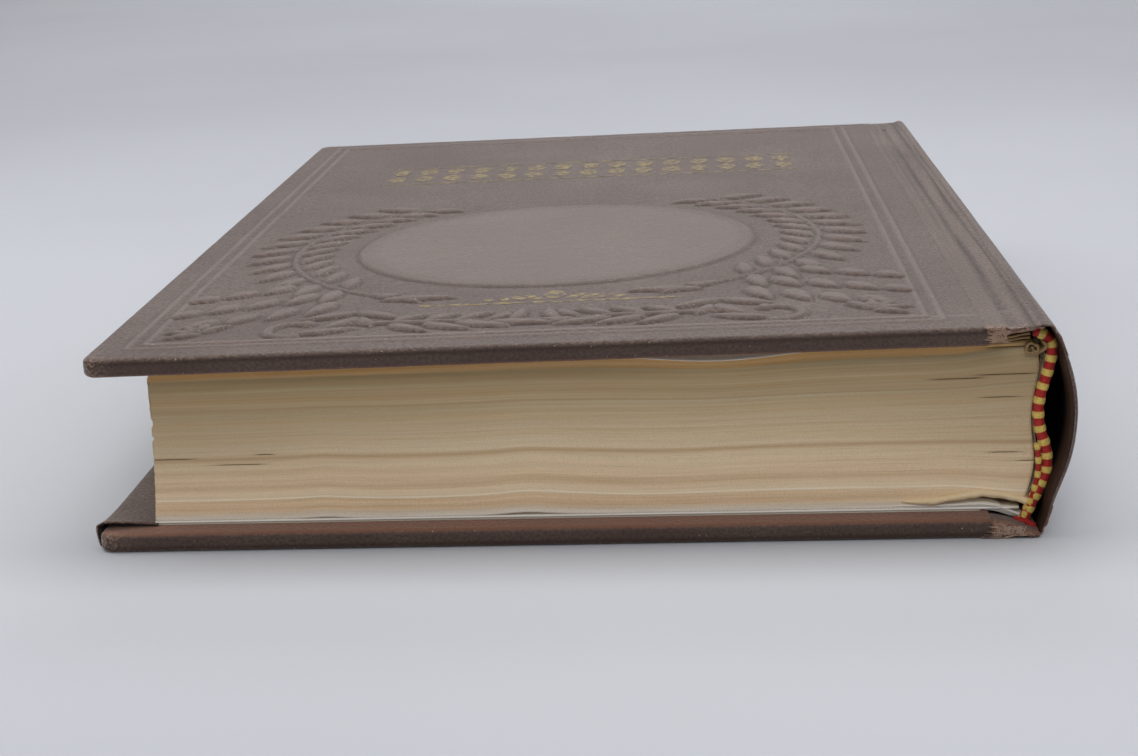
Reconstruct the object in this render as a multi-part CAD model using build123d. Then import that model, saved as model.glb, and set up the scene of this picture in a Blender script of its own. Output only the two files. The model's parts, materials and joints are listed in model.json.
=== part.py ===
from build123d import *

import os
from functools import cache
from math import atan, atan2, cos, degrees, hypot, radians, sin, tan

# A cloth-bound book that lies on its back cover, with its page block in a hollow-backed case.
# X runs from the fore edge to the spine, Y from head to tail and Z up.
# Until the last section, x is counted from the fore edge of the covers.

# Driving dimensions, in millimetres and degrees

# Covers
cover_height = 260.0
board_width = 167.8
board_thickness = 3.2
cloth_thickness = 0.45
corner_radius = 2.5
edge_radius = 1.0
turn_in = 17.0
mitre_gap = 0.4
front_joint = 11.5
back_joint = 10.2
joint_groove = 0.5
fold_gap = 0.8

# Pages and endpapers
paper_thickness = 0.2
leaf_gap = 0.3
fore_square = 10.0
head_square = 5.5
page_thickness_fore = 29.8
page_thickness_back = 32.1
fore_hollow = 0.4
top_sag_place = 108.0
top_sag_width = 36.0
top_sag_depth = 0.7
bottom_rise_place = 71.0
bottom_rise_width = 26.0
bottom_rise_height = 0.5
flyleaf_set_back = 3.0

# The wavy back of the pages: height above their bottom and offset from the fold of the back cover,
# both as shares of their thickness there
page_back_wave = [(0.0, -0.084), (0.22, 0.011), (0.55, -0.051), (0.92, 0.028)]
page_top_set_back = 1.1

# Linings and bands on the back of the pages
tape_width = 14.0
tape_thickness = 0.35
tape_spacing_share = 0.64
mull_thickness = 0.6
lining_thickness = 0.3
lining_set_back = 2.0
band_radius = 1.15
band_sides = 10

# The line of the bands, given as the back of the pages is
band_wave = [(-0.06, -0.069), (0.22, 0.056), (0.55, -0.005), (0.96, 0.086), (1.064, -0.017)]

# Hollow spine
flank_length = 13.0
flank_lean = 20.0
inlay_thickness = 0.6
inlay_margin = 11.0

# Embossing of the front cover
outer_rule_inset = 5.5
inner_rule_inset = 10.0
rule_width = 0.9
rule_height = 0.35
leaf_height = 0.6
leaf_rim = 0.2
medallion_radius = 45.0
medallion_from_head = 93.0
medallion_ridge = 2.4
wreath_gap = 14.5
stem_width = 1.4
stem_height = 0.45
berry_radius = 1.5

# One side of a leaf: share of its length from the base, share of its half width
leaf_side = [(0.25, 0.7), (0.6, 1.0), (0.9, 0.62)]
midrib_ends = [0.2, 0.82]

# Sizes that follow

cover_thickness = cloth_thickness + board_thickness
half_cloth = cloth_thickness / 2
half_height = cover_height / 2
page_half_height = half_height - head_square
panel_width = cloth_thickness + board_width
back_fold_x = panel_width + back_joint
front_fold_x = panel_width + front_joint
back_fold_z = half_cloth

page_bottom = cover_thickness + 2 * paper_thickness + leaf_gap
page_slope = (page_thickness_back - page_thickness_fore) / (back_fold_x - fore_square)
front_tilt = atan(page_slope)


def page_top(x):
    """Height of the flat plane over the pages, which rises towards the spine."""
    return page_bottom + page_thickness_fore + (x - fore_square) * page_slope


front_stack = half_cloth + board_thickness + 2 * paper_thickness + leaf_gap
front_fold_z = page_top(front_fold_x) + front_stack / cos(front_tilt)

# The spine's middle line: a straight flank from the back fold, then an arc to the front fold

flank_along = Vector(sin(radians(flank_lean)), cos(radians(flank_lean)))
flank_out = Vector(flank_along.Y, -flank_along.X)
back_fold = Vector(back_fold_x, back_fold_z)
front_fold = Vector(front_fold_x, front_fold_z)
flank_end = back_fold + flank_along * flank_length
arc_chord = front_fold - flank_end
arc_turn = atan2(arc_chord.Y, arc_chord.X) - radians(90 - flank_lean)
arc_radius = arc_chord.length / (2 * sin(arc_turn))
arc_centre = flank_end - flank_out * arc_radius
arc_start = -radians(flank_lean)
arc_stop = arc_start + 2 * arc_turn
overall_width = arc_centre.X + arc_radius + half_cloth


# Shared shapes


def slab(outline, y_low, y_high):
    """An outline drawn in x and z, made solid between two heights along the book."""
    drawn = Plane.XZ * make_face(outline)
    return Pos(0, y_high, 0) * extrude(drawn, amount=y_high - y_low)


def block(x_low, x_high, y_half, z_low, z_high):
    """A plain block, centred on the middle of the book's height."""
    middle = Pos((x_low + x_high) / 2, 0, (z_low + z_high) / 2)
    return middle * Box(x_high - x_low, 2 * y_half, z_high - z_low)


def both_ends(make, start, length):
    """The same slice at head and tail, from start inwards over a length."""
    return [make(-start, length - start), make(start - length, start)]


# Covers, drawn with the fold at the origin, the outside up and the fore edge towards -X


def panel(x_low, x_high, y_half, z_low, z_high, corner):
    """A block with worn corners at the fore edge."""
    blank = block(x_low, x_high, y_half, z_low, z_high)
    return fillet(blank.edges().filter_by(Axis.Z).group_by(Axis.X)[0], corner)


def cover_board(joint):
    """Pasteboard, thinner under the turn-ins so that the inside is flush."""
    x_low = -joint - board_width
    y_half = half_height - cloth_thickness
    z_inside = -half_cloth - board_thickness
    z_rim = z_inside + cloth_thickness
    core = panel(x_low, -joint, y_half, z_rim, -half_cloth, corner_radius)
    pad = block(x_low + turn_in, -joint, y_half - turn_in, z_inside, -cover_thickness / 2)
    return core + pad


def cover_cloth(joint):
    """Cloth wrapped round three edges of a board, with mitred turn-ins and the strip of the joint."""
    x_low = -joint - panel_width
    z_inside = -half_cloth - board_thickness
    wrap = panel(x_low, -joint, half_height, z_inside, half_cloth, corner_radius + cloth_thickness)
    faces = wrap.faces().sort_by(Axis.Z)
    rims = faces[0].edges() + faces[-1].edges()
    soft_edge = min(edge_radius, 2 * cloth_thickness + board_thickness / 4)
    wrap = fillet([e for e in rims if e.center().X < -joint - soft_edge], soft_edge)
    cloth = wrap - cover_board(joint)

    mitre_length = 2 * hypot(turn_in, turn_in)
    mitre = Box(mitre_length, mitre_gap, cloth_thickness)
    for side in (-1, 1):
        corner = Pos(x_low, side * half_height, z_inside + half_cloth)
        cloth -= corner * Rot(0, 0, -45 * side) * mitre

    middle = -(joint + fold_gap) / 2
    strip = [
        ThreePointArc(
            (-joint, half_cloth), (middle, half_cloth - joint_groove), (-fold_gap, half_cloth)
        ),
        Line((-fold_gap, half_cloth), (-fold_gap, -half_cloth)),
        ThreePointArc(
            (-fold_gap, -half_cloth), (middle, -half_cloth - joint_groove), (-joint, -half_cloth)
        ),
        Line((-joint, -half_cloth), (-joint, half_cloth)),
    ]
    cloth += slab(strip, -half_height, half_height)

    fold_end = -fold_gap - cloth_thickness
    fold = Polyline(
        (-joint, 0),
        (fold_end, 0),
        (fold_end, -half_cloth - cloth_thickness),
        (-joint, z_inside),
        close=True,
    )
    for fold_wall in both_ends(lambda low, high: slab(fold, low, high), half_height, 2 * cloth_thickness):
        cloth += fold_wall
    return cloth


def pastedown(joint):
    """The half of an endpaper that is pasted to the inside of a board."""
    z_inside = -half_cloth - board_thickness
    x_low = -joint - panel_width + fore_square
    return block(x_low, -joint, page_half_height, z_inside - paper_thickness, z_inside)


def place_front(piece):
    return Pos(front_fold_x, 0, front_fold_z) * Rot(0, -degrees(front_tilt), 0) * piece


def place_back(piece):
    return Pos(back_fold_x, 0, back_fold_z) * mirror(piece, about=Plane.XY)


# Embossing, drawn on the plane of the cloth's outside and rooted in its thickness


def ridge(radius, width, height, start, turn):
    """A bevelled ridge along an arc about the origin."""
    low, high = radius - width / 2, radius + width / 2
    bevel = width / 4
    section = Polyline(
        (low, -half_cloth),
        (low, 0),
        (low + bevel, height),
        (high - bevel, height),
        (high, 0),
        (high, -half_cloth),
        close=True,
    )
    turned = revolve(Plane.XZ * make_face(section), Axis.Z, revolution_arc=turn)
    return Rot(0, 0, start) * turned


@cache
def leaf(length, width):
    """A leaf along +X from its pointed base to its blunt tip, with sides that slope up to a midrib."""
    outline = [(0, 0), (length, 0)]
    for along, across in leaf_side:
        outline += [(along * length, side * across * width / 2) for side in (-1, 1)]
    rim = [(x, y, z) for x, y in outline for z in (-half_cloth, leaf_rim)]
    midrib = [(along * length, 0, leaf_height) for along in midrib_ends]
    return ConvexPolyhedron(rim + midrib)


# Leaves of one half: distance out from the middle line, distance from the head, heading, length, width.
# A heading of 0 points away from the middle line and 90 towards the tail.


def head_spray():
    """Pairs of narrow leaves that point to the middle along the head, with one at the tip."""
    for pair in range(5):
        out = 38.0 - 6.6 * pair
        length = 10.5 - 0.5 * pair
        for side in (-1, 1):
            yield out, 22.0 - 0.5 * side, 180 + 32 * side, length, 3.6
    yield 7.5, 22.0, 180, 6.5, 2.4


def wreath():
    """Drooping outer leaves and rising inner leaves along a stem round the medallion."""
    radius = medallion_radius + wreath_gap
    for polar in range(-52, 53, 8):
        for shift, turn, length, width in ((1.2, -45, 11.5, 5.0), (-1.2, 132, 10.0, 4.0)):
            out = (radius + shift) * cos(radians(polar))
            from_head = medallion_from_head + (radius + shift) * sin(radians(polar))
            yield out, from_head, polar + turn, length, width


def corner_leaves():
    """Broad hanging leaves towards the corner, a sprig in it and a few beside the stem."""
    for place in range(4):
        yield 48.0 + 7.0 * place, 43.0 - 3.5 * place, -75, 10.5, 5.2
    for heading in (15, 60, 105):
        yield 61.5, 14.5, heading, 8.0, 3.2
    for from_head, heading, length in ((44.0, 172, 12.0), (39.0, 190, 10.5)):
        yield 31.0, from_head, heading, length, 3.6
    yield 41.0, 36.0, -62, 11.0, 4.0


def embossing(joint):
    """Frame rules, medallion ridge, and mirrored sprays of leaves, scrolls and berries."""
    x_low = -joint - panel_width
    surface = Pos(x_low, -half_height, half_cloth)
    middle = panel_width / 2
    raised = []

    for inset in (outer_rule_inset, inner_rule_inset):
        width = panel_width - 2 * inset
        height = cover_height - 2 * inset
        rule = Rectangle(width, height) - Rectangle(width - 2 * rule_width, height - 2 * rule_width)
        root = Pos(middle, half_height, -half_cloth)
        raised.append(root * extrude(rule, amount=half_cloth + rule_height))

    medallion = Pos(middle, medallion_from_head)
    raised.append(medallion * ridge(medallion_radius, medallion_ridge, leaf_height, 0, 360))
    stem_radius = medallion_radius + wreath_gap
    for start in (-56, 124):
        raised.append(medallion * ridge(stem_radius, stem_width, stem_height, start, 112))

    for out, from_head, heading, length, width in [*head_spray(), *wreath(), *corner_leaves()]:
        raised.append(Pos(middle + out, from_head) * Rot(0, 0, heading) * leaf(length, width))
        raised.append(Pos(middle - out, from_head) * Rot(0, 0, 180 - heading) * leaf(length, width))

    scroll_out, scroll_from_head, scroll_radius = 48.0, 19.5, 5.0
    for side, start in ((1, -120), (-1, 30)):
        scroll = Pos(middle + side * scroll_out, scroll_from_head)
        raised.append(scroll * ridge(scroll_radius, stem_width, stem_height, start, 270))
        raised.append(scroll * ridge(berry_radius, berry_radius, leaf_height, 0, 360))
    return [surface * piece for piece in raised]


# Pages and what is glued to their back


def rounded_line(points):
    """Straight runs joined by tangent arcs, each as large as its two runs allow."""
    radii = []
    for before, point, after in zip(points, points[1:], points[2:]):
        run_in = Vector(*point) - Vector(*before)
        run_out = Vector(*after) - Vector(*point)
        half_turn = radians(run_in.get_angle(run_out)) / 2
        radii.append(0.45 * min(run_in.length, run_out.length) / tan(half_turn))
    return FilletPolyline(*points, radius=radii)


def on_back(wave, shift=0.0):
    """Points of a wave along the back of the pages, moved out by a shift."""
    return [
        (back_fold_x + offset * page_thickness_back + shift, page_bottom + height * page_thickness_back)
        for height, offset in wave
    ]


def page_back(shift):
    """The back of the pages from bottom to top, moved out by the layers glued to it."""
    top_x = back_fold_x - page_top_set_back
    return rounded_line(on_back(page_back_wave, shift) + [(top_x + shift, page_top(top_x))])


def back_layer(inner, outer, y_low, y_high):
    """A layer glued over the back of the pages."""
    near, far = page_back(inner), page_back(outer)
    outline = [*near.edges(), Line(near @ 1, far @ 1), *far.edges(), Line(far @ 0, near @ 0)]
    return slab(outline, y_low, y_high)


def text_block():
    """All the leaves as one solid, with a hollow fore edge and a sheet or two sagging."""
    back = page_back(0)
    fore_top = page_top(fore_square)
    top_from, top_to = [
        (x, page_top(x)) for x in (top_sag_place - top_sag_width / 2, top_sag_place + top_sag_width / 2)
    ]
    low_from, low_to = [
        (bottom_rise_place - bottom_rise_width / 2, page_bottom),
        (bottom_rise_place + bottom_rise_width / 2, page_bottom),
    ]
    sag = (top_sag_place, page_top(top_sag_place) - top_sag_depth)
    rise = (bottom_rise_place, page_bottom + bottom_rise_height)
    outline = [
        Line(back @ 1, top_to),
        ThreePointArc(top_to, sag, top_from),
        Line(top_from, (fore_square, fore_top)),
        ThreePointArc(
            (fore_square, fore_top),
            (fore_square + fore_hollow, (fore_top + page_bottom) / 2),
            (fore_square, page_bottom),
        ),
        Line((fore_square, page_bottom), low_from),
        ThreePointArc(low_from, rise, low_to),
        Line(low_to, back @ 0),
        *back.edges(),
    ]
    return slab(outline, -page_half_height, page_half_height)


def flyleaf(lower_left, lower_right, rise):
    """A free endpaper that lies flat against the pages."""
    sheet = Polyline(
        lower_left,
        lower_right,
        (lower_right[0], lower_right[1] + rise),
        (lower_left[0], lower_left[1] + rise),
        close=True,
    )
    return slab(sheet, -page_half_height, page_half_height)


def sewing_tapes():
    """The linen tapes that the leaves are sewn to, from head to tail."""
    half = tape_width / 2
    spacing = tape_spacing_share * page_half_height
    return [
        back_layer(0, tape_thickness, middle - half, middle + half) for middle in (-spacing, 0, spacing)
    ]


def end_band(end):
    """A wound band over the ends of the pages at head (-1) or tail (1)."""
    path = Pos(0, end * page_half_height, 0) * (Plane.XZ * rounded_line(on_back(band_wave)))
    section = Plane(origin=path @ 0, z_dir=path % 0) * RegularPolygon(band_radius, band_sides)
    return sweep(section, path=path)


# Hollow spine


def spine_line(offset, start, stop):
    """The spine's middle line moved out by an offset, from start along the flank to stop before the end."""
    angle = arc_stop - stop / arc_radius
    radius = arc_radius + offset
    stations = (arc_start, (arc_start + angle) / 2, angle)
    points = [arc_centre + Vector(cos(station), sin(station)) * radius for station in stations]
    low = back_fold + flank_along * start + flank_out * offset
    return [Line(low, points[0]), ThreePointArc(*points)]


def spine_layer(inner, outer, margin, y_low, y_high):
    """A layer of the spine between two offsets, kept clear of both folds by a margin."""
    near = spine_line(inner, margin, margin)
    far = spine_line(outer, margin, margin)
    ends = [Line(near[0] @ 0, far[0] @ 0), Line(near[1] @ 1, far[1] @ 1)]
    return slab([*near, *far, *ends], y_low, y_high)


def spine_cloth():
    """Cloth of the spine with rounded folds, turned in over the inlay at head and tail."""
    near = spine_line(-half_cloth, 0, 0)
    far = spine_line(half_cloth, 0, 0)
    front_along = Vector(-sin(arc_stop), cos(arc_stop))
    ends = [
        ThreePointArc(near[0] @ 0, back_fold - flank_along * half_cloth, far[0] @ 0),
        ThreePointArc(near[1] @ 1, front_fold + front_along * half_cloth, far[1] @ 1),
    ]
    cloth = slab([*near, *far, *ends], -half_height, half_height)
    card = -half_cloth - inlay_thickness
    inside = card - cloth_thickness
    for hem in both_ends(
        lambda low, high: spine_layer(inside, card, inlay_margin, low, high), half_height, turn_in
    ):
        cloth += hem
    for fold in both_ends(
        lambda low, high: spine_layer(card, -half_cloth, inlay_margin, low, high),
        half_height,
        cloth_thickness,
    ):
        cloth += fold
    return cloth


# The pieces

tapes = sewing_tapes()
lining_half = page_half_height - lining_set_back
lining_outside = mull_thickness + lining_thickness
flyleaf_end = back_fold_x - flyleaf_set_back
inlay_half = half_height - cloth_thickness

pieces = {
    "text_block": text_block(),
    "front_flyleaf": flyleaf(
        (fore_square, page_top(fore_square)), (flyleaf_end, page_top(flyleaf_end)), paper_thickness
    ),
    "back_flyleaf": flyleaf((fore_square, page_bottom), (flyleaf_end, page_bottom), -paper_thickness),
    "sewing_tape_head": tapes[0],
    "sewing_tape_middle": tapes[1],
    "sewing_tape_tail": tapes[2],
    "spine_mull": back_layer(0, mull_thickness, -lining_half, lining_half) - tapes,
    "spine_lining": back_layer(mull_thickness, lining_outside, -lining_half, lining_half),
    "head_band": end_band(-1),
    "tail_band": end_band(1),
    "spine_inlay": spine_layer(
        -half_cloth - inlay_thickness, -half_cloth, inlay_margin, -inlay_half, inlay_half
    ),
    "spine_cloth": spine_cloth(),
    "front_board": place_front(cover_board(front_joint)),
    "front_cover_cloth": place_front(cover_cloth(front_joint) + embossing(front_joint)),
    "front_pastedown": place_front(pastedown(front_joint)),
    "back_board": place_back(cover_board(back_joint)),
    "back_cover_cloth": place_back(cover_cloth(back_joint)),
    "back_pastedown": place_back(pastedown(back_joint)),
}

# Origin under the middle of the book, on the surface that it lies on

os.makedirs("parts", exist_ok=True)
to_origin = Pos(-overall_width / 2, 0, 0)
for name, piece in pieces.items():
    export_step(to_origin * piece, f"parts/{name}.step")
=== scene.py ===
import json
import math

import bmesh
import bpy
import numpy as np
from mathutils import Matrix, Vector


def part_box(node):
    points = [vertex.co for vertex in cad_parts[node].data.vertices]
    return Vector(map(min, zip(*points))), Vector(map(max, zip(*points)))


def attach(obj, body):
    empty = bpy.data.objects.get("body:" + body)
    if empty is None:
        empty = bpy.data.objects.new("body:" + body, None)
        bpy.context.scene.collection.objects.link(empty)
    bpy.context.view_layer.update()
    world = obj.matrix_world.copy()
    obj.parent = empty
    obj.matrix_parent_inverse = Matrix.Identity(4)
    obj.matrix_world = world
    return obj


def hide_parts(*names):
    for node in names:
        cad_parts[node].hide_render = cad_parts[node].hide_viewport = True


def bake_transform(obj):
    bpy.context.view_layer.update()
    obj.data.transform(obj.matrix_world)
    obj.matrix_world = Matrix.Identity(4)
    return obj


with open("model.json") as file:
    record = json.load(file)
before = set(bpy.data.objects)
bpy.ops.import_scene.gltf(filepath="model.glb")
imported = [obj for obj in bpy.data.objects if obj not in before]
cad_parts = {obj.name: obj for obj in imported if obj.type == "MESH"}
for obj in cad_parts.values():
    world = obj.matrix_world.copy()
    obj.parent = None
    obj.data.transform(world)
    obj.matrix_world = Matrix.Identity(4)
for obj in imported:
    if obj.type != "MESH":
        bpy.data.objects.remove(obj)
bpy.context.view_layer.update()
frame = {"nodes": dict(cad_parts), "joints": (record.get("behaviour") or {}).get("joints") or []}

# An old cloth-bound book that lies on its back cover, dressed over its solids.
# Lengths are in metres. X runs from the fore edge to the spine, Y from head to tail and Z up.

MM = 0.001
UP = np.array([0.0, 0.0, 1.0])
TAILWARD = np.array([0.0, 1.0, 0.0])

# View
camera_place = (22.6 * MM, -483.8 * MM, 130.0 * MM)
camera_yaw = math.radians(-3.77)
camera_pitch = math.radians(-15.31)
camera_roll = math.radians(-2.26)
camera_lens = 62.92

# Cloth
edge_radius = 1.0 * MM
corner_radius = 2.95 * MM
cloth_thickness = 0.45 * MM
crease_height = 0.22 * MM
groove_depth = 0.25 * MM

# Hollow spine: the flat flank beside the back cover, and the card inside the cloth
flank_length = 13.0 * MM
flank_lean = math.radians(20)
card_bulge = 1.05 * MM

# Where the cloth of a joint starts to bend, from its fold, and where it lies on the spine, as shares of
# the spine's girth
fold_reach = 2.4 * MM
spine_holds = np.array([0.04, 0.09, 0.15])

# End bands and paper
band_radius = 1.05 * MM
skirt_radius = 0.55 * MM
loose_end_radius = 0.75 * MM
stripe_length = 2.75 * MM
sheet_half = 0.08 * MM
torn_thickness = 1.15 * MM

# Pages: the hollow and lean of the fore edge, the sag of the top leaves, the fanning of the leaves at the
# spine, as a share of them, and the dish of the first and last leaf
fore_hollow, fore_lean = 0.4 * MM, 0.9 * MM
sag_place, sag_width, sag_depth = 27 * MM, 15 * MM, 1.35 * MM
fan_place, fan_width, fan_share = 68 * MM, 17 * MM, 0.05
cap_dish = 0.25 * MM


# Sizes read from the frame


def node_points(name):
    """The corners of a solid's mesh."""
    mesh = frame["nodes"][name].data
    flat = np.empty(3 * len(mesh.vertices))
    mesh.vertices.foreach_get("co", flat)
    return flat.reshape(-1, 3)


hinges = {joint["child"]: np.array(joint["pos_m"]) for joint in frame["joints"]}
front_fold, back_fold = hinges["front_cover"], hinges["back_cover"]


class Cover:
    """A cover's own axes: a from its fold to the fore edge, b from head to tail and c outwards."""

    def __init__(self, side):
        self.side = side
        self.body = f"{side}_cover"
        self.fold = hinges[self.body]
        sheet = node_points(f"{side}_pastedown")
        tilt = math.atan(np.polyfit(sheet[:, 0], sheet[:, 2], 1)[0])
        outwards = 1 if side == "front" else -1
        self.along = np.array([-math.cos(tilt), 0, -math.sin(tilt)])
        self.out = outwards * np.array([-math.sin(tilt), 0, math.cos(tilt)])
        board = self.local(node_points(f"{side}_board"))
        cloth = self.local(node_points(f"{side}_cover_cloth"))
        self.sheet = self.local(sheet)
        self.joint = board[:, 0].min()
        self.reach = cloth[:, 0].max()
        self.panel = self.reach - self.joint
        self.half_height = cloth[:, 1].max()
        # The fold lies midway through the cloth, as far from the cloth's outside as from the board
        self.outside = -board[:, 2].max()
        self.inside = board[:, 2].min()

    def local(self, points):
        relative = points - self.fold
        return np.stack([relative @ self.along, relative[:, 1], relative @ self.out], 1)

    def place(self, a, b, c):
        a, b, c = (part[..., None] for part in np.broadcast_arrays(a, b, c))
        return self.fold + a * self.along + b * TAILWARD + c * self.out


front = Cover("front")
back = Cover("back")
half_height = front.half_height
pages_low, pages_high = (np.array(corner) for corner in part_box("text_block"))
pages = node_points("text_block")
page_fore = pages_low[0]
page_bottom = pages_low[2]
page_half = pages_high[1]
page_thickness = pages_high[2] - pages_low[2]


# Shared shapes


def spaced(start, stop, step):
    """Even places from start to stop, about a step apart."""
    return np.linspace(start, stop, max(2, round(abs(stop - start) / step)) + 1)


def ease(x):
    """A smooth rise from 0 to 1."""
    x = np.clip(x, 0, 1)
    return x * x * (3 - 2 * x)


def bump(x, middle, width):
    """A smooth hill of height 1."""
    return np.exp(-(((x - middle) / width) ** 2))


def wander(u, v, seed):
    """Smooth noise between -1 and 1 over cells of size 1."""
    size = 97
    table = np.random.default_rng(seed).uniform(-1, 1, (size, size))
    i, j = np.floor(u).astype(int), np.floor(v).astype(int)
    su, sv = ease(u - i), ease(v - j)
    low = table[i % size, j % size] * (1 - su) + table[(i + 1) % size, j % size] * su
    high = table[i % size, (j + 1) % size] * (1 - su) + table[(i + 1) % size, (j + 1) % size] * su
    return low * (1 - sv) + high * sv


def blurred(values, passes):
    """Values on a grid, smoothed over their neighbours."""
    for _ in range(passes):
        beside = sum(np.roll(values, way, axis) for way in (1, -1) for axis in (0, 1))
        values = (4 * values + beside) / 8
    return values


def spline(controls, count):
    """Points along a smooth line that is drawn towards its control points and ends on the outer two."""
    controls = np.asarray(controls, float)
    middles = (controls[2:-1] + controls[1:-2]) / 2
    starts = np.vstack([controls[:1], middles])
    ends = np.vstack([middles, controls[-1:]])
    t = np.linspace(0, 1, 24, endpoint=False)[:, None]
    runs = [
        (1 - t) ** 2 * start + 2 * t * (1 - t) * control + t**2 * end
        for start, control, end in zip(starts, controls[1:-1], ends)
    ]
    line = np.vstack([*runs, controls[-1:]])
    reach = path_reach(line)
    places = np.linspace(0, reach[-1], count)
    return np.stack([np.interp(places, reach, line[:, k]) for k in range(line.shape[1])], 1)


def path_reach(line):
    """The distance along a line to each of its points."""
    return np.concatenate([[0], np.cumsum(np.linalg.norm(np.diff(line, axis=0), axis=1))])


def grid_faces(rows, columns, around=False):
    """Quads of a grid of points, closed round its columns where asked."""
    last = columns if around else columns - 1
    i, j = np.meshgrid(np.arange(rows - 1) * columns, np.arange(last), indexing="ij")
    k = (j + 1) % columns
    return np.stack([i + j, i + columns + j, i + columns + k, i + k], -1).reshape(-1, 4)


def make_piece(name, points, faces, paint, body=None, replaces=(), marks=None, flat=0):
    """A mesh piece with its normals outwards, that rides on a body. The last few faces may be flat."""
    mesh = bpy.data.meshes.new(name)
    mesh.from_pydata(np.reshape(points, (-1, 3)).tolist(), [], [list(face) for face in faces])
    for mark, values in (marks or {}).items():
        values = np.broadcast_to(values, (len(mesh.vertices),)).astype(np.float32)
        mesh.attributes.new(mark, "FLOAT", "POINT").data.foreach_set("value", values)
    shape = bmesh.new()
    shape.from_mesh(mesh)
    bmesh.ops.recalc_face_normals(shape, faces=shape.faces)
    shape.to_mesh(mesh)
    shape.free()
    smooth = np.ones(len(mesh.polygons), bool)
    smooth[len(smooth) - flat:] = False
    mesh.polygons.foreach_set("use_smooth", smooth)
    mesh.materials.append(paint)
    piece = bpy.data.objects.new(name, mesh)
    bpy.context.scene.collection.objects.link(piece)
    if body:
        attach(piece, body)
    if replaces:
        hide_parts(*replaces)
    return piece


def shell(top, bottom):
    """Points and faces of a closed sheet between two equal grids of points."""
    rows, columns = top.shape[:2]
    size = rows * columns
    faces = grid_faces(rows, columns)
    index = np.arange(size).reshape(rows, columns)
    rim = np.concatenate([index[0, :-1], index[:-1, -1], index[-1, :0:-1], index[:0:-1, 0]])
    after = np.roll(rim, -1)
    walls = np.stack([rim, after, after + size, rim + size], 1)
    points = np.concatenate([top.reshape(-1, 3), bottom.reshape(-1, 3)])
    return points, np.concatenate([faces, faces[:, ::-1] + size, walls])


def two_sided(shape, top, bottom):
    """Marks for the points of a closed sheet, from those of its two grids."""
    return np.concatenate([np.broadcast_to(side, shape).ravel() for side in (top, bottom)])


def joined(parts):
    """Several sets of points and faces as one."""
    points, faces, start = [], [], 0
    for some_points, some_faces in parts:
        points.append(np.reshape(some_points, (-1, 3)))
        faces += [[corner + start for corner in face] for face in some_faces]
        start += len(points[-1])
    return np.concatenate(points), faces


def tube(path, radius, sides):
    """A closed tube along a path of points, with a radius for each point."""
    ahead = np.gradient(path, axis=0)
    ahead /= np.linalg.norm(ahead, axis=1)[:, None]
    across = np.cross(ahead, TAILWARD + 0.31 * UP)
    across /= np.linalg.norm(across, axis=1)[:, None]
    third = np.cross(ahead, across)
    turns = np.arange(sides) * 2 * math.pi / sides
    ring = across[:, None] * np.cos(turns)[:, None] + third[:, None] * np.sin(turns)[:, None]
    faces = grid_faces(len(path), sides, around=True).tolist()
    last = (len(path) - 1) * sides
    faces += [list(range(sides))[::-1], list(range(last, last + sides))]
    return path[:, None] + radius[:, None, None] * ring, faces


# Materials


def colour(red, green, blue):
    """A colour as it looks on a screen, from 0 to 255, as light."""
    steps = [value / 255 for value in (red, green, blue)]
    return tuple(s / 12.92 if s < 0.04045 else ((s + 0.055) / 1.055) ** 2.4 for s in steps) + (1.0,)


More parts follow.
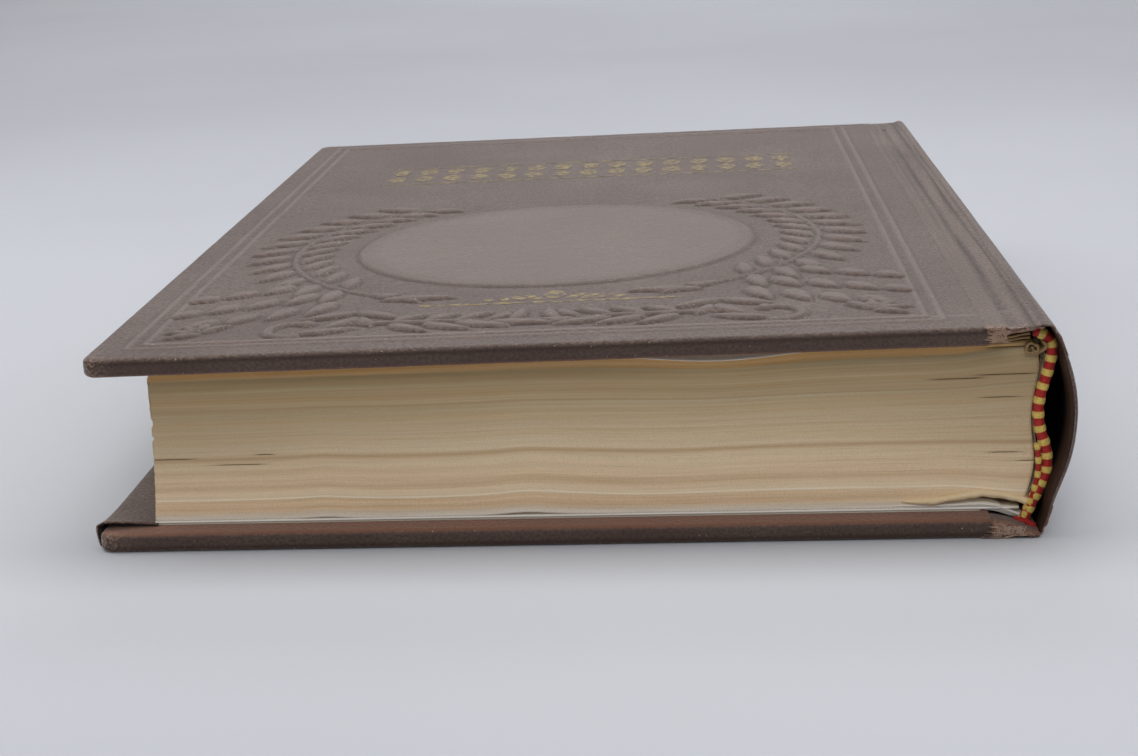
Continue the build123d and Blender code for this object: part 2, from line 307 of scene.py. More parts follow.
class Paint:
    """A material whose nodes are added one by one."""

    def __init__(self, name, roughness=0.7, specular=0.3, sheen=0.0):
        self.material = bpy.data.materials.new(name)
        self.material.use_nodes = True
        self.tree = self.material.node_tree
        self.shader = self.tree.nodes["Principled BSDF"]
        self.shader.inputs["Roughness"].default_value = roughness
        self.shader.inputs["Specular IOR Level"].default_value = specular
        self.shader.inputs["Sheen Weight"].default_value = sheen
        self.shader.inputs["Sheen Roughness"].default_value = 0.4
        self.place = self.node("ShaderNodeTexCoord").outputs["Object"]

    def node(self, kind, settings=None, **values):
        node = self.tree.nodes.new(kind)
        for name, value in (settings or {}).items():
            setattr(node, name, value)
        for name, value in values.items():
            self.give(node.inputs[name.replace("_", " ")], value)
        return node

    def give(self, socket, value):
        if isinstance(value, bpy.types.NodeSocket):
            self.tree.links.new(value, socket)
        else:
            socket.default_value = value

    def mark(self, name):
        return self.node("ShaderNodeAttribute", {"attribute_name": name}).outputs["Fac"]

    def stretched(self, scale):
        return self.node("ShaderNodeMapping", Scale=scale, Vector=self.place).outputs["Vector"]

    def joined(self, x, y):
        return self.node("ShaderNodeCombineXYZ", X=x, Y=y).outputs["Vector"]

    def noise(self, scale, detail, vector=None):
        node = self.node("ShaderNodeTexNoise", Vector=vector or self.place, Scale=scale, Detail=detail)
        return node.outputs["Fac"]

    def sum(self, operation, first, second):
        node = self.node("ShaderNodeMath", {"operation": operation})
        self.give(node.inputs[0], first)
        self.give(node.inputs[1], second)
        return node.outputs["Value"]

    def span(self, value, low, high, to_low=0.0, to_high=1.0):
        ends = {"From_Min": low, "From_Max": high, "To_Min": to_low, "To_Max": to_high}
        return self.node("ShaderNodeMapRange", Value=value, **ends).outputs["Result"]

    def ramp(self, value, stops):
        node = self.node("ShaderNodeValToRGB", Fac=value)
        while len(node.color_ramp.elements) < len(stops):
            node.color_ramp.elements.new(0.5)
        for element, (place, tone) in zip(node.color_ramp.elements, stops):
            element.position = place
            element.color = tone
        return node.outputs["Color"]

    def mix(self, share, first, second):
        node = self.node("ShaderNodeMix", {"data_type": "RGBA"})
        self.give(node.inputs[0], share)
        self.give(node.inputs[6], first)
        self.give(node.inputs[7], second)
        return node.outputs[2]

    def coat(self, tone, roughness=None, height=None, depth=0.0):
        """Joins colour, roughness and relief to the shader, and returns the material."""
        self.give(self.shader.inputs["Base Color"], tone)
        if roughness is not None:
            self.give(self.shader.inputs["Roughness"], roughness)
        if height is not None:
            relief = self.node("ShaderNodeBump", Height=height, Distance=depth, Strength=1.0)
            self.give(self.shader.inputs["Normal"], relief.outputs["Normal"])
        return self.material


def cloth_paint():
    """Grained book cloth: brown, grey and pink from rubbing on its high places, partly as painted highlight,
    with light specks, painted shade and painted near-black where marked.
    """
    paint = Paint("covering_cloth", specular=0.3, sheen=0.3)
    grain = paint.noise(1.0, 3.0, paint.stretched((1500, 1100, 1700)))
    thread = paint.noise(2600.0, 1.0)
    cloud = paint.noise(38.0, 4.0)
    tone = paint.ramp(cloud, [(0.3, colour(92, 73, 64)), (0.7, colour(110, 92, 83))])
    tone = paint.mix(paint.span(grain, 0.38, 0.68, 0.0, 0.7), tone, colour(62, 49, 44))
    tone = paint.mix(paint.mark("inside"), tone, paint.mix(grain, colour(138, 94, 74), colour(120, 84, 68)))
    # Paler raised tops: partly real rubbing, partly painted highlight on the relief.
    high = paint.sum("MULTIPLY", paint.mark("relief"), paint.span(grain, 0.3, 0.8, 0.3, 0.7))
    tone = paint.mix(high, tone, colour(134, 119, 113))
    tone = paint.mix(paint.mark("shade"), tone, colour(54, 36, 28))
    rub = paint.sum("MULTIPLY", paint.mark("wear"), paint.span(paint.noise(1600.0, 3.0), 0.45, 0.7))
    tone = paint.mix(rub, tone, colour(172, 144, 124))
    specks = paint.span(paint.noise(2100.0, 0.0), 0.82, 0.88, 0.0, 0.8)
    tone = paint.mix(specks, tone, colour(186, 168, 150))
    # Painted shade: near-black where marked dark, under the lifted corner flap and inside the spine.
    tone = paint.mix(paint.mark("dark"), tone, colour(8, 6, 6))
    height = paint.sum("ADD", paint.sum("MULTIPLY", grain, 1.4), thread)
    return paint.coat(tone, paint.span(grain, 0.2, 0.8, 0.5, 0.75), height, 0.12 * MM)


# Tones of the page edges from the bottom leaf to the top one, darker towards the top partly by their own
# tone and partly as painted shade under the cover.
page_tones = [
    (0.0, colour(252, 245, 231)),
    (0.035, colour(240, 224, 200)),
    (0.06, colour(244, 215, 176)),
    (0.3, colour(240, 214, 178)),
    (0.55, colour(214, 194, 161)),
    (0.78, colour(172, 154, 121)),
    (0.93, colour(170, 150, 112)),
    (0.95, colour(204, 162, 104)),
    (1.0, colour(206, 160, 100)),
]

# Brown lines along the page edges: height, half width and strength, with heights as shares of the thickness
brown_strata = [
    (0.80, 0.008, 0.3),
    (0.735, 0.008, 0.3),
    (0.55, 0.012, 0.15),
    (0.41, 0.022, 0.45),
    (0.31, 0.02, 0.12),
    (0.215, 0.03, 0.25),
    (0.075, 0.02, 0.15),
]


def page_paint():
    """The cut edges of a thousand leaves: tan strata that follow the leaves, darker to the top partly as
    painted shade.
    """
    paint = Paint("page_edges", roughness=0.85, specular=0.15)
    leaf, run = paint.mark("leaf"), paint.mark("run")

    def strata(run_rate, leaf_rate, detail):
        """Noise that is long along the edges and thin across the leaves."""
        place = paint.joined(paint.sum("MULTIPLY", run, run_rate), paint.sum("MULTIPLY", leaf, leaf_rate))
        return paint.noise(1.0, detail, place)

    def thin_line(value, level, width, strength):
        """A soft line where a value passes a level."""
        off = paint.sum("ABSOLUTE", paint.sum("SUBTRACT", value, level), 0.0)
        return paint.span(off, 0.0, width, strength, 0.0)

    broad = strata(0.1, 12.0, 2.0)
    fine = strata(0.25, 45.0, 3.0)
    hair = strata(2.2, 210.0, 2.0)
    grain = paint.noise(3600.0, 1.0)
    tone = paint.ramp(leaf, page_tones)
    tone = paint.mix(paint.span(broad, 0.42, 0.64, 0.0, 0.3), tone, colour(204, 166, 118))
    tone = paint.mix(paint.span(fine, 0.48, 0.68, 0.0, 0.16), tone, colour(238, 222, 196))
    tone = paint.mix(thin_line(fine, 0.43, 0.03, 0.18), tone, colour(166, 132, 88))
    tone = paint.mix(paint.span(hair, 0.5, 0.75, 0.0, 0.24), tone, colour(172, 142, 102))
    tone = paint.mix(paint.span(grain, 0.45, 0.75, 0.0, 0.22), tone, colour(160, 132, 96))
    for level, width, strength in brown_strata:
        tone = paint.mix(thin_line(leaf, level, width, strength), tone, colour(158, 116, 66))
    tone = paint.mix(thin_line(leaf, 0.16, 0.03, 0.35), tone, colour(240, 224, 196))
    tone = paint.mix(thin_line(leaf, 0.138, 0.008, 0.9), tone, colour(248, 236, 212))
    # Darker towards the fore edge and the spine, most at mid height.
    tone = paint.mix(paint.mark("aged"), tone, colour(142, 116, 82))
    tone = paint.mix(paint.mark("shade"), tone, colour(58, 38, 22))
    height = paint.sum("ADD", hair, paint.noise(5000.0, 2.0))
    return paint.coat(tone, None, height, 0.04 * MM)


def paper_paint(name, light, dark):
    """A sheet of old paper with foxing and a faint lay of fibres, and painted light that whitens it where
    marked.
    """
    paint = Paint(name, roughness=0.85, specular=0.2)
    cloud = paint.noise(22.0, 4.0)
    fibres = paint.noise(1400.0, 3.0)
    tone = paint.ramp(cloud, [(0.2, dark), (0.8, light)])
    tone = paint.mix(paint.span(fibres, 0.35, 0.7, 0.0, 0.25), tone, dark)
    spots = paint.span(paint.noise(160.0, 4.0), 0.7, 0.8, 0.0, 0.35)
    tone = paint.mix(spots, tone, colour(176, 142, 98))
    # Painted light: the paper turns whiter where its edges lie in shade.
    tone = paint.mix(paint.mark("fresh"), tone, colour(248, 244, 234))
    return paint.coat(tone, None, fibres, 0.04 * MM)


def board_paint():
    """Grey-brown pasteboard."""
    paint = Paint("pasteboard", roughness=0.9, specular=0.15)
    tone = paint.ramp(paint.noise(300.0, 4.0), [(0.3, colour(118, 98, 76)), (0.7, colour(150, 130, 104))])
    return paint.coat(tone, None, paint.noise(1800.0, 2.0), 0.08 * MM)


def hollow_paint():
    """The inside of the hollow spine: brown at its rim, with painted shade that turns it black further in.
    """
    paint = Paint("spine_inside", roughness=0.95, specular=0.05)
    rough = paint.noise(800.0, 3.0)
    tone = paint.mix(rough, colour(58, 42, 35), colour(74, 56, 47))
    # Painted shade: near-black where marked dark, deep in the hollow.
    tone = paint.mix(paint.mark("dark"), tone, colour(9, 7, 7))
    return paint.coat(tone, None, rough, 0.1 * MM)


def linen_paint():
    """Open unbleached cloth."""
    paint = Paint("linen", roughness=0.9, specular=0.15)
    weave = paint.noise(1500.0, 2.0)
    tone = paint.ramp(weave, [(0.3, colour(120, 104, 80)), (0.7, colour(176, 160, 130))])
    return paint.coat(tone, None, weave, 0.1 * MM)


def silk_paint():
    """Red and yellow wound silk."""
    paint = Paint("band_silk", roughness=0.55, specular=0.35, sheen=0.2)
    fibre = paint.noise(2400.0, 3.0)
    red = paint.mix(fibre, colour(128, 14, 14), colour(206, 46, 36))
    yellow = paint.mix(fibre, colour(190, 148, 46), colour(244, 222, 128))
    tone = paint.mix(paint.mark("stripe"), red, yellow)
    return paint.coat(tone, None, fibre, 0.08 * MM)


def gold_paint():
    """Gold leaf, rubbed thin."""
    paint = Paint("gold_leaf", roughness=0.45, specular=0.5)
    worn = paint.span(paint.noise(700.0, 4.0), 0.36, 0.58)
    tone = paint.mix(worn, colour(138, 118, 60), colour(94, 81, 74))
    return paint.coat(tone, paint.span(worn, 0.0, 1.0, 0.4, 0.7), worn, 0.03 * MM)


def floor_paint():
    """A pale matt studio floor."""
    paint = Paint("studio_floor", roughness=0.9, specular=0.1)
    tone = paint.ramp(paint.noise(3.0, 3.0), [(0.35, colour(184, 186, 191)), (0.65, colour(190, 192, 197))])
    return paint.coat(tone)


cloth = cloth_paint()
page_edges = page_paint()
endpaper = paper_paint("endpaper", colour(212, 205, 190), colour(198, 188, 168))
torn_paper = paper_paint("torn_paper", colour(248, 226, 184), colour(228, 196, 150))
curled_paper = paper_paint("curled_paper", colour(176, 146, 104), colour(134, 106, 72))
raw_thread = paper_paint("raw_thread", colour(196, 172, 152), colour(160, 128, 108))
pasteboard = board_paint()
linen = linen_paint()
silk = silk_paint()
gold = gold_paint()
spine_inside = hollow_paint()


# Embossing of the front cover, by distance u from the fore edge and v from the head

rule_insets = (7.0 * MM, 10.0 * MM)
rule_half_width = 0.5 * MM
rule_height = 0.35 * MM
leaf_height = 0.9 * MM
midrib_width = 0.4 * MM
medallion_radius = 45.0 * MM
medallion_from_head = 93.0 * MM
medallion_height = 0.5 * MM
medallion_bevel = 1.6 * MM
wreath_radius = 59.5 * MM
stem_width, stem_height, stem_turn = 1.4 * MM, 0.45 * MM, 112
scroll_place = (46.5 * MM, 16.6 * MM)
scroll_radius = 5.2 * MM
scroll_width, scroll_height, scroll_turn = 2.2 * MM, 0.7 * MM, 220
bead_place = (44.7 * MM, 21.4 * MM)
bead_width = 3.6 * MM

# Rows of hanging leaves in the corners: the first leaf's distance from the middle and from the head, its
# lean and length, and the number of leaves, in mm and degrees
hanging_rows = [(42.5, 40.0, 78, 12.2, 4), (47.7, 48.5, 70, 11.0, 4), (54.0, 57.0, 60, 9.5, 3)]

# Long blades beside the scroll and under the medallion: distance from the middle and from the head, heading,
# length and width, in mm and degrees
fan_blades = [
    (36.0, 46.0, 210, 15.0, 4.0),
    (33.0, 40.0, 172, 15.5, 3.8),
    (37.0, 30.0, 205, 12.5, 3.8),
    (36.5, 25.5, 228, 9.5, 3.8),
    (36.0, 30.5, -38, 12.5, 3.8),
    (35.0, 25.0, -62, 11.0, 3.6),
    (34.5, 17.0, -27, 13.5, 3.2),
]


# Each leaf is given by its distance from the middle and from the head, heading, length, width and curl,
# in mm and degrees


def head_spray():
    """Slim leaves in pairs on a stem along the head, with one at the tip."""
    yield 37.0, 20.0, 182, 33.0, 1.5, 0.0
    for pair in range(4):
        start = 28.0 - 6.4 * pair
        yield start, 20.4, 138, 8.8, 3.2, 0.12
        yield start, 18.6, 226 - 9 * pair, 10.5 + pair, 3.6, -0.12
    yield 4.6, 18.8, 118, 9.0, 3.2, -0.25


def wreath():
    """Drooping outer leaves and rising inner leaves along a stem round the medallion."""
    for polar in range(-44, 53, 8):
        for shift, turn, length, width in ((1.2, -45, 12.0, 4.4), (-1.2, 132, 10.5, 3.8)):
            radius = wreath_radius / MM + shift
            out = radius * math.cos(math.radians(polar))
            from_head = medallion_from_head / MM + radius * math.sin(math.radians(polar))
            yield out, from_head, polar + turn, length, width, 0.12


def corner_leaves():
    """Three rows of hanging leaves, blades that fan out over the scroll, and a sprig in the corner."""
    for out, from_head, lean, length, count in hanging_rows:
        for place in range(count):
            yield out + 7.2 * place, from_head - 4.0 * place, 5 * place - lean, length - place, 4.8, 0.12
    for blade in fan_blades:
        yield *blade, 0.14
    for heading in (-40, 0, 40, 80, 120):
        yield 65.0, 17.0, heading, 7.5, 2.6, 0.2


def leaf_relief(u, v, base_u, base_v, heading, length, width, curl):
    """Height of one leaf: a curling dome with a sunk midrib, steep at its rim."""
    turn = math.radians(heading)
    along = ((u - base_u) * math.cos(turn) + (v - base_v) * math.sin(turn)) / length
    across = (v - base_v) * math.cos(turn) - (u - base_u) * math.sin(turn)
    share = np.clip(along, 0, 1)
    across = across - curl * length * share**2
    half = width / 2 * np.sin(math.pi * share**0.75) ** 0.8 + 1e-9
    dome = np.clip(1 - (across / half) ** 2, 0, 1) ** 0.5
    rib = 1 - 0.3 * bump(across, 0, midrib_width) * (1 - share)
    high = leaf_height * dome * rib * (0.6 + 0.4 * np.sin(math.pi * share))
    return np.where((along > 0) & (along < 1), high, 0)


def ring_relief(u, v, middle, radius, width, height, facing=0, turn=360):
    """Height of a round ridge along an arc that faces one way."""
    off_u, off_v = u - middle[0], v - middle[1]
    off = np.hypot(off_u, off_v) - radius
    angle = (np.degrees(np.arctan2(off_v, off_u)) - (facing - turn / 2)) % 360
    return np.where(angle <= turn, height * np.clip(1 - (2 * off / width) ** 2, 0, 1) ** 0.6, 0)


def rule_relief(u, v):
    """Height of the two frame rules."""
    wide, high = front.panel, 2 * half_height
    total = np.zeros(np.broadcast(u, v).shape)
    for inset in rule_insets:
        off_u = np.minimum(np.abs(u - inset), np.abs(u - wide + inset))
        off_v = np.minimum(np.abs(v - inset), np.abs(v - high + inset))
        inside_u = (u > inset - rule_half_width) & (u < wide - inset + rule_half_width)
        inside_v = (v > inset - rule_half_width) & (v < high - inset + rule_half_width)
        off = np.minimum(np.where(inside_v, off_u, 1.0), np.where(inside_u, off_v, 1.0))
        total = np.maximum(total, rule_height * bump(off, 0, rule_half_width))
    return total


def from_medallion(u, v):
    """Distance outside the rim of the medallion, a smooth raised disc."""
    return np.hypot(u - front.panel / 2, v - medallion_from_head) - medallion_radius


def embossing(u, v):
    """Height of the stamped design over the front cover, whose two halves mirror each other."""
    middle = front.panel / 2
    sides = ((1, 0), (-1, 180))
    high = rule_relief(u, v)
    high = np.maximum(high, medallion_height * ease(0.5 - from_medallion(u, v) / medallion_bevel))
    ring = (middle, medallion_from_head), wreath_radius, stem_width, stem_height
    for _, facing in sides:
        high = np.maximum(high, ring_relief(u, v, *ring, facing, stem_turn))
    for out, from_head, heading, length, width, curl in [*wreath(), *corner_leaves(), *head_spray()]:
        for side, turn in ((1, heading), (-1, 180 - heading)):
            place = middle + side * out * MM, from_head * MM
            leaf = leaf_relief(u, v, *place, turn, length * MM, width * MM, side * curl)
            high = np.where(leaf > 0, leaf, high)
    for side, facing in sides:
        place = middle + side * scroll_place[0], scroll_place[1]
        scroll = ring_relief(u, v, place, scroll_radius, scroll_width, scroll_height, facing, scroll_turn)
        place = middle + side * bead_place[0], bead_place[1]
        bead = ring_relief(u, v, place, 0.0, bead_width, leaf_height)
        high = np.maximum.reduce([high, scroll, bead])
    return high


def stamp_marks(u, v, relief):
    """Where the stamped cloth is made light by rubbing, partly as painted highlight, and where painted shade
    darkens its hollows and the medallion's rim.
    """
    off = from_medallion(u, v)
    rules = rule_relief(u, v) / rule_height
    head_rule = bump(v, rule_insets[1], 0.4 * MM) * (u > rule_insets[1])
    disc = ease(-off / (5 * MM))
    # Rubbing, partly as painted highlight, on the raised design, the medallion and the rules.
    rubbing_and_highlight = np.maximum.reduce([relief / leaf_height, 0.9 * disc, 1.2 * rules, 2.0 * head_rule])
    # Painted shade in the hollows beside the raised design, and a painted shade line along the medallion's
    # rim.
    hollow = np.clip(5.5 * (blurred(relief, 4) - relief) / leaf_height, 0, 0.95)
    return rubbing_and_highlight, np.maximum(hollow, 0.75 * bump(off, 0.5 * MM, 0.6 * MM))


# Covers


def wrap_steps(cover):
    """The cloth's way round a board's edge from an inset line: distance out and height."""
    flat = corner_radius - edge_radius
    steps = [(out, cover.outside) for out in np.linspace(0, flat, 4)]
    for turn in np.linspace(0, math.pi / 2, 7)[1:]:
        drop = edge_radius * (1 - math.cos(turn))
        steps.append((flat + edge_radius * math.sin(turn), cover.outside - drop))
    for height in np.linspace(cover.outside - edge_radius, cover.inside + edge_radius, 5)[1:-1]:
        steps.append((corner_radius, height))
    for turn in np.linspace(0, math.pi / 2, 6):
        rise = edge_radius * (1 - math.sin(turn))
        steps.append((flat + edge_radius * math.cos(turn), cover.inside + rise))
    steps += [(out, cover.inside) for out in np.linspace(flat, 0.1 * MM, 4)[1:]]
    return np.array(steps).T


def wrapped_grid(cover, a_lines, b_lines):
    """A grid over a board and round its three free edges: a, b, height and the step of the wrap."""
    out_steps, heights = wrap_steps(cover)
    steps = np.arange(1, len(out_steps))
    a_step = np.pad(steps, (len(a_lines), 0))
    b_step = np.concatenate([steps[::-1], np.zeros(len(b_lines), int), steps])
    a_base = np.pad(a_lines, (0, len(steps)), "edge")
    b_base = np.pad(b_lines, len(steps), "edge")
    a_step, b_step = np.meshgrid(a_step, b_step, indexing="ij")
    a_base, b_base = np.meshgrid(a_base, b_base, indexing="ij")
    step = np.maximum(a_step, b_step)
    share = np.minimum(a_step, b_step) / np.maximum(step, 1)
    turn = np.where(a_step >= b_step, share, 2 - share) * math.pi / 4
    out = out_steps[step]
    a = a_base + out * np.cos(turn)
    b = b_base + np.sign(b_base) * out * np.sin(turn)
    return a, b, heights[step], step


def cover_skin(cover, a_lines, b_lines, stamped=False):
    """Cloth over a board: its outside, three wrapped edges with round corners, and the turned-in inside."""
    a, b, height, step = wrapped_grid(cover, a_lines, b_lines)
    u, v = cover.reach - a, b + half_height
    depth = cover.outside - height
    inside = ease(depth / (cover.outside - cover.inside) * 5 - 4)
    rim = np.maximum(0.4 * ease(depth / (1.2 * MM)), 0.85 * bump(depth, 0.9 * MM, 0.7 * MM))
    shade = rim * (1 - inside)
    scuffs = bump(step, 6, 2.0) * np.clip(wander(a / (9 * MM), b / (9 * MM), 11), 0, 1)
    corner = bump(np.hypot(u, half_height - np.abs(b)), 0, 3.5 * MM) * (step > 0)
    rubbing_and_highlight = np.zeros(a.shape)
    if stamped:
        relief = np.where(step == 0, embossing(u, v), 0)
        rubbing_and_highlight, painted_shade = (mark * (step == 0) for mark in stamp_marks(u, v, relief))
        # The stamp's painted shade joins the shade of the edges.
        shade = np.maximum(shade, painted_shade)
        height = height + relief
    c = height + 0.03 * MM * wander(a / (3 * MM), b / (3 * MM), 5)
    wear = np.clip(0.35 * scuffs + corner, 0, 1)
    # The relief mark holds rubbing and painted highlight on the raised tops.
    marks = {"relief": rubbing_and_highlight, "inside": inside, "wear": wear, "shade": shade}

    rows, columns = a.shape
    index = np.arange(rows * columns).reshape(rows, columns)
    inner_rim = [*index[:, 0], *index[-1, 1:-1], *index[::-1, -1]]
    faces = grid_faces(rows, columns).tolist() + [inner_rim, list(index[0])]
    make_piece(
        f"{cover.side}_cover_cloth_skin",
        cover.place(a, b, c),
        faces,
        cloth,
        cover.body,
        [f"{cover.side}_cover_cloth"],
        {name: values.ravel() for name, values in marks.items()},
        flat=2,
    )


def pastedown(cover):
    """The pasted half of an endpaper, with soft waves where the paste pulled it."""
    name = f"{cover.side}_pastedown"
    low, high = cover.sheet.min(0), cover.sheet.max(0)
    a, b = np.meshgrid(spaced(low[0], high[0], 3 * MM), spaced(low[1], high[1], 3 * MM), indexing="ij")
    waves = 0.05 * MM * (wander(a / (14 * MM), b / (22 * MM), 21) - 0.6)
    points, faces = shell(cover.place(a, b, low[2] - waves), cover.place(a, b, high[2] + 0.02 * MM))
    make_piece(f"{name}_sheet", points, faces, endpaper, cover.body, [name])


flap_start = 10.6 * MM
flap_drop = 3.2 * MM
flap_set_back = 3.1 * MM
flap_thickness = 0.4 * MM


def corner_flap():
    """The fore-edge turn-in of the back cover, lifted where its head corner has come unstuck."""
    way = [(-flap_start, 0.0), (-0.6 * flap_start, 0.1 * MM), (-3 * MM, 0.12 * MM), (-0.9 * MM, 0.12 * MM)]
    way += [(0.3 * MM, -0.3 * MM), (0.32 * MM, -1.4 * MM), (0.28 * MM, -2.3 * MM), (0.05 * MM, -flap_drop)]
    line = spline(way, 60)
    from_edge, rise = line[:, 0], line[:, 1]
    first = -half_height + flap_set_back - 0.16 * np.minimum(from_edge, 0)
    share = np.concatenate([np.linspace(0, 0.05, 14)[:-1], np.linspace(0.05, 1, 40)])[:, None]
    b = first + share * (half_height - flap_set_back - first)
    lift = 1.25 * MM * np.exp(-(b - first) / (5 * MM)) * np.clip(1 + from_edge / (11 * MM), 0, 1) ** 0.8
    lift = lift * np.where(from_edge > 0, np.clip(1 + rise / flap_drop, 0, 1), 1)
    a = back.reach + from_edge + np.where(from_edge > 0, 0.35, 0.0) * lift
    c = back.inside - rise - lift
    ragged = b + 0.1 * MM * wander(from_edge / (0.8 * MM), from_edge * 0, 71) * (share == 0)
    across = np.gradient(line, axis=0)
    normal = flap_thickness * np.stack([-across[:, 1], across[:, 0]]) / np.linalg.norm(across, axis=1)
    outer = back.place(a + normal[0], ragged, c - normal[1])
    points, faces = shell(outer, back.place(a, ragged, c))
    worn = 0.4 * bump(share, 0, 0.004) + 0.8 * bump(np.hypot(from_edge, b - first), 0, 4 * MM)
    # The underside gets painted shade and painted near-black, as it lies in shade under the lifted flap.
    marks = {
        "inside": two_sided(b.shape, 0.0, 1.0),
        "shade": two_sided(b.shape, 0.0, 1.0),
        "wear": two_sided(b.shape, worn, worn),
        "dark": two_sided(b.shape, 0.0, 0.8),
    }
    make_piece("back_corner_flap", points, faces, cloth, back.body, (), marks)


# Gold tooling, by distance from the fore edge and from the head
gold_rule = {"u": 60.0 * MM, "v": 34.2 * MM, "length": 53.0 * MM, "width": 1.4 * MM}
gold_spray_place = (87.0 * MM, 36.0 * MM)
gold_spray_lean = 38
gold_band_start = 30.0 * MM
gold_band_length = 114.0 * MM
gold_band_from_head = 195.0 * MM
gold_band_half = 13.0 * MM
gold_band_leaves = 15
gold_band_rows = (1.0 * MM, -10.0 * MM)


def foil(outline):
    """Points and faces of a thin leaf of gold on the front cover, from its outline in u and v."""
    outline = np.asarray(outline, float)
    count = len(outline)
    low, high = front.outside - 0.02 * MM, front.outside + 0.05 * MM
    rings = [front.place(front.reach - outline[:, 0], outline[:, 1] - half_height, c) for c in (low, high)]
    walls = [[k, (k + 1) % count, (k + 1) % count + count, k + count] for k in range(count)]
    return np.concatenate(rings), [list(range(count))[::-1], list(range(count, 2 * count)), *walls]


def foil_leaf(u, v, length, width, heading=90):
    """A pointed leaf of gold."""
    shares = np.linspace(0, 1, 9)
    side = width / 2 * np.sin(math.pi * shares) ** 0.8
    along = np.concatenate([shares, shares[-2:0:-1]]) * length
    across = np.concatenate([side, -side[-2:0:-1]])
    cos, sin = math.cos(math.radians(heading)), math.sin(math.radians(heading))
    return foil(np.stack([u + along * cos - across * sin, v + along * sin + across * cos], 1))


def foil_bar(u, v, length, width):
    """A straight gold rule."""
    half = width / 2
    return foil([(u, v - half), (u + length, v - half), (u + length, v + half), (u, v + half)])


def gold_tooling():
    """A gold rule with a spray over it below the medallion, and a band of leaves near the tail."""
    middle, base = gold_spray_place
    parts = [foil_bar(**gold_rule), foil_leaf(middle, base, 8.5 * MM, 4.5 * MM)]
    for side in (-1, 1):
        for step in range(4):
            place = middle + side * (2.2 + 3.4 * step) * MM
            length = (6.5 - 1.1 * step) * MM
            parts.append(foil_leaf(place, base, length, 2.4 * MM, 90 - side * gold_spray_lean))
    for shift in (-gold_band_half, gold_band_half):
        parts.append(foil_bar(gold_band_start, gold_band_from_head + shift, gold_band_length, 1.0 * MM))
    for step in range(gold_band_leaves):
        place = gold_band_start + (step + 0.5) * gold_band_length / gold_band_leaves
        for shift in gold_band_rows:
            parts.append(foil_leaf(place, gold_band_from_head + shift, 10.0 * MM, 5.2 * MM))
    points, faces = joined(parts)
    make_piece("gold_tooling", points, faces, gold, front.body, flat=len(faces))


# Rows of the front skin: close together over the embossing, and apart where the cover is smooth
inset_half = half_height - corner_radius
row_ends = [-inset_half, -80 * MM, 22 * MM, 112 * MM, inset_half]
row_steps = [0.5 * MM, 0.72 * MM, 4.0 * MM, 0.55 * MM]
row_runs = [spaced(start, stop, step) for start, stop, step in zip(row_ends, row_ends[1:], row_steps)]
front_rows = np.concatenate([run[:-1] for run in row_runs] + [[inset_half]])
front_columns = spaced(front.joint, front.reach - corner_radius, 0.62 * MM)
cover_skin(front, front_columns, front_rows, stamped=True)
back_columns = spaced(back.joint - 1.4 * MM, back.reach - corner_radius, 1.6 * MM)
cover_skin(back, back_columns, spaced(-inset_half, inset_half, 1.6 * MM))
for cover in (front, back):
    pastedown(cover)
corner_flap()
gold_tooling()


# Spine and joints


def spine_frame(shares):
    """The middle of the spine's cloth from the back fold up: points, outward directions and girth."""
    along = np.array([math.sin(flank_lean), 0, math.cos(flank_lean)])
    out = np.array([along[2], 0, -along[0]])
    flank_end = back_fold + flank_length * along
    chord = front_fold - flank_end
    half_turn = math.atan2(chord[2], chord[0]) - (math.pi / 2 - flank_lean)
    radius = np.linalg.norm(chord) / (2 * math.sin(half_turn))
    centre = flank_end - radius * out
    girth = flank_length + 2 * half_turn * radius
    distance = shares * girth
    angle = np.maximum(distance - flank_length, 0) / radius - flank_lean
    outward = np.stack([np.cos(angle), np.zeros(len(angle)), np.sin(angle)], 1)
    on_flank = back_fold + distance[:, None] * along
    points = np.where((distance < flank_length)[:, None], on_flank, centre + radius * outward)
    return points, outward, girth


def rounded(depth, radius):
    """How much of its thickness a sheet with a round end has at a depth from that end."""
    return np.sqrt(1 - np.clip(1 - depth / radius, 0, 1) ** 2)


